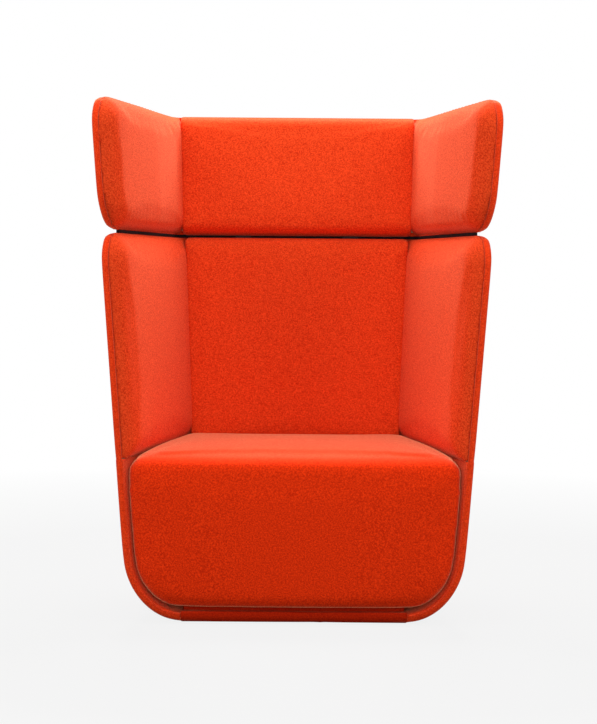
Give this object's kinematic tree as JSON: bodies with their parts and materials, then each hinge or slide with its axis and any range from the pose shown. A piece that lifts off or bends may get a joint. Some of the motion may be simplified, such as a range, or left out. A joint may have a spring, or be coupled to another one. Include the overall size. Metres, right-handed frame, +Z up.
{
  "type": "acoustic high back lounge chair",
  "caption": "High back lounge chair: a curved upholstered shell with padded sides, a block seat nested in it and a winged hood above, for quiet seating.",
  "frame": {"origin": "on the floor, under the middle of the chair's outer box", "axes": "+Z up, +Y toward the back, +X toward the chair's left as it faces -Y, seen at the right from the front"},
  "size_m": [1.0516, 0.8202, 1.352],
  "materials": {
    "shell_wool": "matte",
    "pad_wool": "matte",
    "black_cloth": "matte",
    "foam": "matte",
    "plywood": "matte",
    "beech": "matte",
    "zinc_steel": "satin",
    "glide_plastic": "matte"
  },
  "bodies": {
    "root": {"glides": "glide_plastic", "glide_screws": "zinc_steel", "base_board": "plywood", "dust_cover": "black_cloth", "base_front_band": "shell_wool", "side_panel_left": "plywood", "side_panel_right": "plywood", "back_panel": "plywood", "back_posts": "beech", "back_rails": "beech", "back_webbing": "black_cloth", "side_cover_left": "shell_wool", "side_cover_right": "shell_wool", "back_cover": "shell_wool", "side_lining_left": "shell_wool", "side_lining_right": "shell_wool", "side_pad_left": "pad_wool", "side_pad_right": "pad_wool", "back_pad": "pad_wool", "seat_front_board": "plywood", "seat_back_board": "plywood", "seat_side_rails": "beech", "seat_bolts": "zinc_steel", "seat_springs": "zinc_steel", "spring_clips": "zinc_steel", "spring_felt": "black_cloth", "seat_foam": "foam", "seat_cover": "pad_wool", "hood_straps": "zinc_steel", "strap_bolts": "zinc_steel", "hood_spacer": "black_cloth", "hood_side_panel_left": "plywood", "hood_side_panel_right": "plywood", "hood_back_panel": "plywood", "hood_rails": "beech", "hood_webbing": "black_cloth", "hood_corner_blocks": "beech", "hood_cover_left": "shell_wool", "hood_cover_right": "shell_wool", "hood_back_cover": "shell_wool", "hood_pad_left": "pad_wool", "hood_pad_right": "pad_wool", "hood_back_pad": "pad_wool"}
  },
  "joints": []
}
